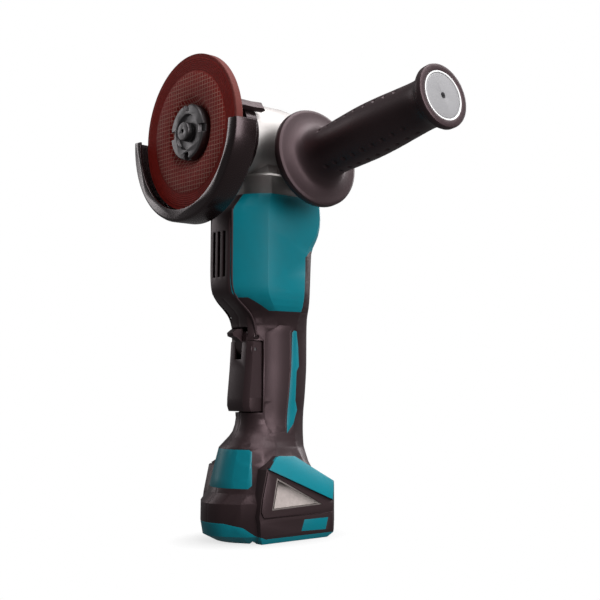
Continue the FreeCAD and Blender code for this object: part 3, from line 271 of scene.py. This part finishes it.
def cast_metal():
    finish = Finish("blasted_casting", Metallic=0.9)
    blast = finish.noise(0.5 * MM, 3.0)
    patches = finish.noise(9 * MM, 4.0)
    finish.drive("Base Color", finish.mixed(patches, (0.46, 0.435, 0.425, 1), (0.36, 0.34, 0.335, 1)))
    finish.drive("Roughness", 0.52 + (patches - 0.5) * 0.14)
    finish.relief(blast, 0.05 * MM, 0.55)
    return finish.material


def distance_from_spindle(finish):
    x, _, z = finish.axes()
    return ((x * x) + (z - SPINDLE_Z) ** 2) ** 0.5


def steel(name, colour, gloss, ring_pitch=0.25 * MM):
    """Turned steel with fine rings about the spindle axis."""
    finish = Finish(name, Metallic=1.0)
    rings = (distance_from_spindle(finish) * (2 * math.pi / ring_pitch)).sine() * 0.5 + 0.5
    smears = finish.noise(3 * MM, 4.0)
    darker = tuple(channel * 0.7 for channel in colour)
    finish.drive("Base Color", finish.mixed(smears, (*colour, 1), (*darker, 1)))
    finish.drive("Roughness", gloss + (smears - 0.5) * 0.16 + rings * 0.04)
    finish.relief(rings, 0.01 * MM, 0.5)
    return finish.material


def coated_steel():
    finish = Finish("black_painted_sheet", Coat_Weight=0.2, Coat_Roughness=0.15, Specular_Tint=WARM)
    wave = finish.noise(18 * MM, 2.0)
    grain = finish.noise(0.6 * MM, 2.0)
    finish.drive("Base Color", finish.mixed(wave, (0.0060, 0.0035, 0.0035, 1), (0.011, 0.0070, 0.0070, 1)))
    finish.drive("Roughness", 0.26 + (grain - 0.5) * 0.12)
    finish.relief(grain, 0.012 * MM, 0.3)
    return finish.material


FINISHES["cast_metal"] = cast_metal()
FINISHES["turned_steel"] = steel("turned_steel", (0.16, 0.15, 0.155), 0.4)
FINISHES["hardened_steel"] = steel("hardened_steel", (0.055, 0.048, 0.053), 0.42, 0.4 * MM)
FINISHES["screen_metal"] = steel("screen_plate", (0.30, 0.262, 0.25), 0.5, 0.9 * MM)
FINISHES["coated_steel"] = coated_steel()
print("metals ready")

# %% [markdown]
# ## The abrasive
# A grinding wheel is aluminium-oxide grit in dark red resin, pressed over squares of glass-fibre net. The net
# shows through the face as a light grid round the hub, and the rim shows the bare, paler grit. The grid
# is made of two sines of position, x and z, so that it lies flat on the disc as the real cloth does.

# %% Resin, grit and glass net
NET_PITCH = 3.1 * MM
NET_REACH = 43.5 * MM
RIM_START = 56.9 * MM


def abrasive():
    finish = Finish("red_abrasive", Specular_IOR_Level=0.1)
    x, _, z = finish.axes()
    radius = distance_from_spindle(finish)
    threads = []
    for across in (x, z - SPINDLE_Z):
        wave = (across * (2 * math.pi / NET_PITCH)).sine() * 0.5 + 0.5
        threads.append(wave ** 14)
    net = threads[0].math("MAXIMUM", threads[0], threads[1])
    inside = (1 - (radius - NET_REACH) / (1.5 * MM)).clamped()
    cloud = finish.noise(8 * MM, 3.0)
    weave = net * inside * (0.2 + cloud * 1.3).clamped()
    grit = finish.node("TexVoronoi", {}, {"Vector": finish.place, "Scale": 1 / (0.8 * MM)})
    resin = finish.mixed(cloud, (0.33, 0.0165, 0.0105, 1), (0.22, 0.0115, 0.008, 1))
    speckled = finish.mixed(grit * 0.35, resin, (0.16, 0.026, 0.02, 1))
    netted = finish.mixed(weave * 0.95, speckled, (0.56, 0.27, 0.22, 1))
    rim = (radius - RIM_START).above(0.0)
    finish.drive("Base Color", finish.mixed(rim, netted, (0.115, 0.028, 0.024, 1)))
    finish.drive("Roughness", 0.5 + grit * 0.25)
    finish.relief(grit * 0.5 + weave, 0.35 * MM, 0.8)
    return finish.material


FINISHES["abrasive"] = abrasive()

# %% [markdown]
# ## What hides inside
# The motor, the electronics and the contacts hardly show, but they still get honest surfaces: stacked
# steel sheets are a fine sine up the motor axis, and enamelled copper a coarser one.

# %% Windings, laminations, board and contacts
def layered(name, colour, metallic, pitch, gloss):
    """A stack or winding whose layers follow the height."""
    finish = Finish(name, Metallic=metallic)
    _, _, z = finish.axes()
    layers = (z * (2 * math.pi / pitch)).sine() * 0.5 + 0.5
    darker = tuple(channel * 0.55 for channel in colour)
    finish.drive("Base Color", finish.mixed(layers, (*darker, 1), (*colour, 1)))
    finish.drive("Roughness", gloss + (finish.noise(2 * MM) - 0.5) * 0.1)
    finish.relief(layers, 0.12 * MM)
    return finish.material


FINISHES["copper_winding"] = layered("enamelled_copper", (0.62, 0.20, 0.08), 1.0, 0.7 * MM, 0.3)
FINISHES["core_laminations"] = layered("stacked_core", (0.20, 0.20, 0.21), 1.0, 0.5 * MM, 0.45)
FINISHES["contact_metal"] = layered("tinned_brass", (0.66, 0.52, 0.30), 1.0, 2.0 * MM, 0.3)
FINISHES["circuit_board"] = moulded("potted_board", (0.012, 0.085, 0.035), 0.3, 0.02 * MM)
print(len(FINISHES), "finishes")

# %% [markdown]
# ## The painted ground shadow
# The tool stands on white that has no edge. The faint shade near the foot is a painted shadow: a small sheet
# of dark grey that is nearly clear and fades out with distance from the foot.

# %% Painted ground shadow
PAINTED_SHADOW_REACH = 75 * MM


def painted_ground_shadow():
    finish = Finish("painted_ground_shadow", Roughness=0.9)
    # Painted shadow: dark grey whose opacity falls off with distance from the foot.
    finish.shader.inputs["Base Color"].default_value = (0.25, 0.24, 0.24, 1)
    x, y, _ = finish.axes()
    distance = ((x * x) * 1.9 + (y + 10 * MM) ** 2) ** 0.5
    painted_shadow_strength = (1 - distance / PAINTED_SHADOW_REACH).clamped()
    finish.drive("Alpha", painted_shadow_strength * 0.55)
    shape = bmesh.new()
    bmesh.ops.create_grid(shape, x_segments=1, y_segments=1, size=0.12)
    mesh = bpy.data.meshes.new("painted_shadow_sheet")
    shape.to_mesh(mesh)
    shape.free()
    mesh.materials.append(finish.material)
    painted_shadow_sheet = bpy.data.objects.new("painted_shadow_sheet", mesh)
    bpy.context.scene.collection.objects.link(painted_shadow_sheet)
    return painted_shadow_sheet


painted_ground_shadow()

# %% Give every part its finish
for node, part in frame["nodes"].items():
    finish = FINISHES[slot_of[node]]
    part.data.materials.clear()
    part.data.materials.append(finish)
print("painted", len(frame["nodes"]), "parts")

# %% [markdown]
# ## Rounded edges
# A machined or moulded edge is never perfectly sharp: it carries a small radius that catches the light as a
# thin line. The exact parts have none, so each part that shows is copied, welded, and its sharp edges
# are bevelled. Soft shading then runs over the gentle bends only.

# %% Tools for pieces
SMOOTH_ANGLE = math.radians(28)


def finished_piece(name, shape, node_names, finish_name, body=None):
    """Turns a bmesh into a piece that stands for some parts."""
    mesh = bpy.data.meshes.new(name)
    shape.to_mesh(mesh)
    shape.free()
    mesh.polygons.foreach_set("use_smooth", [True] * len(mesh.polygons))
    mesh.set_sharp_from_angle(angle=SMOOTH_ANGLE)
    mesh.materials.append(FINISHES[finish_name])
    piece = bpy.data.objects.new(name, mesh)
    bpy.context.scene.collection.objects.link(piece)
    if node_names:
        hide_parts(*node_names)
    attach(piece, body or body_of[node_names[0]])
    return piece


def welded_copy(node):
    """A bmesh of a part with its doubled vertices merged and its flat faces joined."""
    shape = bmesh.new()
    shape.from_mesh(frame["nodes"][node].data)
    bmesh.ops.remove_doubles(shape, verts=shape.verts, dist=0.004 * MM)
    bmesh.ops.dissolve_limit(shape, angle_limit=math.radians(0.6), verts=shape.verts, edges=shape.edges)
    return shape


def round_edges(shape, width, angle=32, segments=2):
    """Bevels every edge that is sharper than the angle."""
    limit = math.radians(angle)
    shortest = width * 0.3
    sharp = [e for e in shape.edges
             if e.is_manifold and e.calc_face_angle() > limit and e.calc_length() > shortest]
    bmesh.ops.bevel(shape, geom=sharp, offset=width, offset_type="OFFSET", affect="EDGES", segments=segments,
                    profile=0.5, material=-1, clamp_overlap=True)


EDGE_RADII = {
    "gear_housing": 0.5, "bearing_box": 0.4, "wheel_guard": 0.35, "guard_clamp_band": 0.25,
    "guard_clamp_screw": 0.25, "guard_clamp_lever": 0.5, "lock_nut": 0.3, "inner_flange": 0.3, "spindle": 0.2,
    "wheel_centre_ring": 0.1, "motor_housing": 0.5, "front_cover": 0.4, "rear_cover": 0.4,
    "handle_shell_left": 0.4, "handle_shell_right": 0.4, "foot_panel": 0.25, "foot_skirt": 0.35,
    "paddle_lever": 0.6, "lock_off_lever": 0.5, "side_trims": 0.25, "grip_pads": 0.3, "dust_covers": 0.3,
    "shaft_lock_button": 0.3, "side_handle_cap": 0.4, "bearing_box_screws": 0.15, "gear_housing_screws": 0.2,
    "shell_screws": 0.15, "terminal_block": 0.3, "paddle_pivot_pin": 0.3,
}

# %% Bevel the parts that show
for node, radius in EDGE_RADII.items():
    shape = welded_copy(node)
    round_edges(shape, radius * MM)
    piece = finished_piece(node + "_rounded", shape, [node], slot_of[node])
    if node == "paddle_pivot_pin":
        piece.data.materials[0] = FINISHES["coated_steel"]
    print(node, len(piece.data.polygons), "faces")

# %% [markdown]
# ## The wheel
# A depressed-centre wheel is a flat ring of abrasive with a dished middle, so that the nut never touches the
# work. It is a body of revolution, and spinning half of its section is the plain way to make it. Only
# the outer part of the face has moulded ridges, which are small steps in the section.

# %% Turn a section round an axis
def ring_through(shape, points):
    """A closed loop of edges through a list of points."""
    corners = [shape.verts.new(point) for point in points]
    return [shape.edges.new((a, b)) for a, b in zip(corners, corners[1:] + corners[:1])]


def turned(section, centre, axis, side, steps):
    """A bmesh turned from (radius, distance along the axis) pairs in metres."""
    shape = bmesh.new()
    edges = ring_through(shape, [centre + side * r + axis * s for r, s in section])
    bmesh.ops.spin(shape, geom=shape.verts[:] + edges, cent=centre, axis=axis, angle=2 * math.pi, steps=steps,
                   use_merge=True)
    bmesh.ops.remove_doubles(shape, verts=shape.verts, dist=0.001 * MM)
    bmesh.ops.recalc_face_normals(shape, faces=shape.faces)
    return shape


WHEEL_THICKNESS, WHEEL_BORE, RIM_ROUND = 6 * MM, 11.9 * MM, 0.5 * MM
RIDGE_START, RIDGE_END, RIDGE_PITCH, RIDGE_DEPTH = 45 * MM, 56 * MM, 1.5 * MM, 0.22 * MM


def wheel_section():
    """Half the wheel's section, with ridges near the rim."""
    low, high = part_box("grinding_wheel")
    face, dish_back, radius = low.y, high.y, high.x
    back = face + WHEEL_THICKNESS
    seat = dish_back - WHEEL_THICKNESS
    groove = face + RIDGE_DEPTH
    points = [(WHEEL_BORE, seat), (20.6 * MM, seat), (21.4 * MM, seat - 0.2 * MM),
              (26.4 * MM, face + 0.4 * MM), (27.4 * MM, face)]
    for i in range(int((RIDGE_END - RIDGE_START) / RIDGE_PITCH)):
        at = RIDGE_START + i * RIDGE_PITCH
        points += [(at, face), (at + 0.3 * RIDGE_PITCH, groove), (at + 0.7 * RIDGE_PITCH, groove)]
    points += [(radius - RIM_ROUND, face), (radius, face + RIM_ROUND), (radius, back - RIM_ROUND),
               (radius - RIM_ROUND, back), (28.5 * MM, back), (22.5 * MM, dish_back), (WHEEL_BORE, dish_back)]
    return points


# %% Wheel
spindle_centre = Vector((0, 0, SPINDLE_Z))
wheel = turned(wheel_section(), spindle_centre, Vector((0, 1, 0)), Vector((1, 0, 0)), 160)
wheel_piece = finished_piece("abrasive_wheel", wheel, ["grinding_wheel"], "abrasive")
print("wheel:", len(wheel_piece.data.polygons), "faces")

# %% [markdown]
# ## The side handle
# The auxiliary handle is a hollow rubber grip moulded over a steel stud, with a wide flange that keeps the
# hand off the hot head. Its waist is a smooth curve through a few radii. Rows of small dimples run
# along its upper and lower sides and leave the front plain. They are pressed in after the spin: each point
# near a dimple's middle moves towards the axis.

# %% Smooth profile through a few radii
def smooth_through(points, step):
    """Points on a Catmull-Rom curve through (radius, distance) pairs, about a step apart."""
    padded = [points[0]] + points + [points[-1]]
    result = []
    for a, b, c, d in zip(padded, padded[1:], padded[2:], padded[3:]):
        parts = max(1, round(math.dist(b, c) / step))
        for k in range(parts):
            t = k / parts
            result.append(tuple(0.5 * (2 * q + (r - p) * t + (2 * p - 5 * q + 4 * r - s) * t * t
                                       + (3 * q - p - 3 * r + s) * t ** 3) for p, q, r, s in zip(a, b, c, d)))
    return result + [points[-1]]


handle_joint_z = 271.3 * MM
handle_tilt = math.radians(9.3)
handle_axis = Vector((math.cos(handle_tilt), 0, math.sin(handle_tilt)))
handle_up = Vector((-math.sin(handle_tilt), 0, math.cos(handle_tilt)))
handle_start = Vector((0, 0, handle_joint_z))


def in_metres(pairs):
    return [(r * MM, s * MM) for r, s in pairs]


WAIST = in_metres([(34.6, 57.2), (29.0, 57.9), (24.2, 59.4), (20.9, 62.6), (19.0, 67.5), (18.2, 76.0),
                   (18.8, 92.0), (19.3, 112.0), (18.8, 130.0), (17.7, 148.0), (16.9, 163.0), (17.4, 169.5),
                   (19.0, 173.6), (21.2, 176.3)])
WAIST_STEP = 0.8 * MM


def handle_section():
    """The flange next to the head, the waist, and the thick rim round the end cap."""
    flange = [(15.0, 45.4), (16.3, 49.6), (35.4, 50.6), (36.5, 51.0), (36.9, 52.0), (36.9, 55.2),
              (36.4, 56.4), (35.4, 56.9)]
    rim = [(22.0, 177.6), (22.1, 179.0), (22.1, 180.9), (21.7, 181.9), (20.9, 182.3), (17.8, 182.3),
           (17.0, 181.9), (16.2, 181.4), (16.2, 176.0), (5.0, 176.0), (5.0, 45.4)]
    return in_metres(flange) + smooth_through(WAIST, WAIST_STEP) + in_metres(rim)


DIMPLE_ROWS = [43, 74, 106, 137, -54, -85, -116]
DIMPLE_FIRST, DIMPLE_PITCH, DIMPLE_COUNT = 75 * MM, 9.6 * MM, 9
DIMPLE_RADIUS, DIMPLE_DEPTH = 1.9 * MM, 1.2 * MM
HOLLOW_RADIUS = 12 * MM


def press_dimples(shape):
    """Moves the points near each dimple's middle towards the handle's axis."""
    for row, degrees in enumerate(DIMPLE_ROWS):
        angle = math.radians(degrees)
        outward = Vector((0, -1, 0)) * math.cos(angle) + handle_up * math.sin(angle)
        stagger = 0.5 * (row % 2)
        centres = [DIMPLE_FIRST + (i + stagger) * DIMPLE_PITCH for i in range(DIMPLE_COUNT)]
        for vert in shape.verts:
            offset = vert.co - handle_start
            along = offset.dot(handle_axis)
            radial = offset - handle_axis * along
            on_the_row = centres[0] - DIMPLE_RADIUS < along < centres[-1] + DIMPLE_RADIUS
            if not on_the_row or radial.length < HOLLOW_RADIUS:
                continue
            sideways = radial.angle(outward) * radial.length
            if sideways > DIMPLE_RADIUS:
                continue
            lengthways = min(abs(along - centre) for centre in centres)
            reach = math.hypot(sideways, lengthways) / DIMPLE_RADIUS
            if reach < 1:
                vert.co -= radial.normalized() * DIMPLE_DEPTH * (1 - reach * reach)


# %% Side handle
handle = turned(handle_section(), handle_start, handle_axis, Vector((0, -1, 0)), 150)
press_dimples(handle)
handle_piece = finished_piece("dimpled_side_handle", handle, ["side_handle_grip"], "soft_grip")
print("side handle:", len(handle_piece.data.polygons), "faces")

# %% White ring round the end cap
RING_SECTION = in_metres([(15.9, 180.4), (15.9, 181.7), (16.2, 182.0), (17.0, 182.0), (17.3, 181.7),
                          (17.3, 180.4)])
ring = turned(RING_SECTION, handle_start, handle_axis, Vector((0, -1, 0)), 96)
ring_piece = finished_piece("end_cap_ring", ring, [], "cap_plastic", "housing")
ring_piece.data.materials[0] = FINISHES["white_ring"]
print("cap ring:", len(ring_piece.data.polygons), "faces")

# %% [markdown]
# ## The screens in the dust covers
# Air for the motor comes in through a triangle on each side of the foot: a pale pressed plate with a bright
# rim, set in a dark groove. The groove's shade is painted as a near-black band. Rim and painted shade band
# are bands round the same triangle, one inside its edge and one outside it, so one function draws both: a
# triangle is inset, its middle removed, and the band raised.

# %% Bands round the triangles
SCREEN_CORNERS = [Vector((-20.8, 44.8)) * MM, Vector((-24.8, 25.2)) * MM, Vector((17.0, 26.2)) * MM]
PLATE_X = 34.9 * MM


def grown(corners, margin):
    """The triangle with each edge moved outwards by the margin."""
    lengths = [(corners[i - 2] - corners[i - 1]).length for i in range(3)]
    centre = sum((corner * length for corner, length in zip(corners, lengths)), Vector((0, 0))) / sum(lengths)
    side, other = corners[1] - corners[0], corners[2] - corners[0]
    inner_radius = abs(side.x * other.y - side.y * other.x) / sum(lengths)
    return [centre + (corner - centre) * (1 + margin / inner_radius) for corner in corners]


def triangle_band(side, margin, width, height):
    """A raised band whose outer edge lies a margin outside the triangle."""
    shape = bmesh.new()
    corners = grown(SCREEN_CORNERS, margin)
    face = shape.faces.new([shape.verts.new((side * PLATE_X, y, z)) for y, z in corners])
    bmesh.ops.inset_region(shape, faces=[face], thickness=width, use_boundary=True, use_even_offset=True)
    bmesh.ops.delete(shape, geom=[face], context="FACES_ONLY")
    raised = bmesh.ops.extrude_face_region(shape, geom=shape.faces[:])["geom"]
    verts = [v for v in raised if isinstance(v, bmesh.types.BMVert)]
    bmesh.ops.translate(shape, vec=(side * height, 0, 0), verts=verts)
    bmesh.ops.recalc_face_normals(shape, faces=shape.faces)
    round_edges(shape, 0.2 * MM)
    return shape


def pour(shape, part):
    """Adds one bmesh to another."""
    mesh = bpy.data.meshes.new("part")
    part.to_mesh(mesh)
    part.free()
    shape.from_mesh(mesh)
    bpy.data.meshes.remove(mesh)


def both_bands(margin, width, height):
    bands = triangle_band(1, margin, width, height)
    pour(bands, triangle_band(-1, margin, width, height))
    return bands


def screen_backings():
    """The screens without the triangles that stand out of them."""
    shape = welded_copy("mesh_screens")
    for side in (1, -1):
        bmesh.ops.bisect_plane(shape, geom=shape.verts[:] + shape.edges[:] + shape.faces[:], clear_outer=True,
                               plane_co=(side * PLATE_X, 0, 0), plane_no=(side, 0, 0))
    bmesh.ops.holes_fill(shape, edges=[e for e in shape.edges if e.is_boundary])
    return shape


# %% Screens
rims = finished_piece("screen_rims", both_bands(0, 1.1 * MM, 0.75 * MM), [], "screen_metal", "housing")
# Painted shade: a near-black raised band just outside each triangle stands in for the shadow in the groove
# round the screen.
groove_shade_bands = finished_piece("painted_groove_shade_bands", both_bands(1.5 * MM, 1.4 * MM, 0.5 * MM), [], "black_plastic",
                         "housing")
groove_shade_bands.data.materials[0] = FINISHES["coated_steel"]
finished_piece("screen_backings", screen_backings(), ["mesh_screens"], "screen_metal")
print("screens:", len(rims.data.polygons), "faces")

# %% [markdown]
# ## The lip beside the nose
# Where the black nose meets the coloured shell, the rubber ends in a raised lip that runs on down past the
# paddle. It is a soft bead along a curve: a curve with a round bevel follows a few points on the surface,
# and is then turned into a mesh.

# %% Raised lips
LIP_ROUTE = [(12.9, -46.6, 243), (13.0, -46.6, 213), (12.9, -46.8, 192), (12.8, -45.6, 182.5),
             (12.9, -41.0, 176), (13.3, -35.0, 171), (13.7, -29.2, 165.5), (13.9, -26.0, 158),
             (13.9, -24.6, 150)]
LIP_RADIUS = 0.8 * MM


def lip(side):
    curve = bpy.data.curves.new("lip", "CURVE")
    curve.dimensions = "3D"
    curve.bevel_depth = LIP_RADIUS
    curve.bevel_resolution = 3
    curve.resolution_u = 6
    curve.use_fill_caps = True
    spline = curve.splines.new("NURBS")
    spline.points.add(len(LIP_ROUTE) - 1)
    for point, (x, y, z) in zip(spline.points, LIP_ROUTE):
        point.co = (side * x * MM, y * MM, z * MM, 1)
    spline.order_u = 3
    spline.use_endpoint_u = True
    guide = bpy.data.objects.new("lip_guide", curve)
    mesh = bpy.data.meshes.new_from_object(guide)
    bpy.data.objects.remove(guide)
    shape = bmesh.new()
    shape.from_mesh(mesh)
    bpy.data.meshes.remove(mesh)
    return shape


lips = lip(1)
pour(lips, lip(-1))
lip_piece = finished_piece("raised_lips", lips, [], "soft_grip", "housing")
print("lips:", len(lip_piece.data.polygons), "faces")

# %% [markdown]
# ## The springs
# Two springs are pressed when their part moves. Each is replaced by a welded, smooth-shaded copy of the exact
# spring with a mesh of its own.

# %% Springs under the paddle and the lock button
for node, joint, seat_is_low, keep in [("paddle_spring", "paddle_squeeze", False, 0.8),
                                       ("shaft_lock_spring", "shaft_lock_press", True, 0.4)]:
    spring = finished_piece(node + "_soft", welded_copy(node), [node], slot_of[node])
    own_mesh(spring)
print("2 springs")
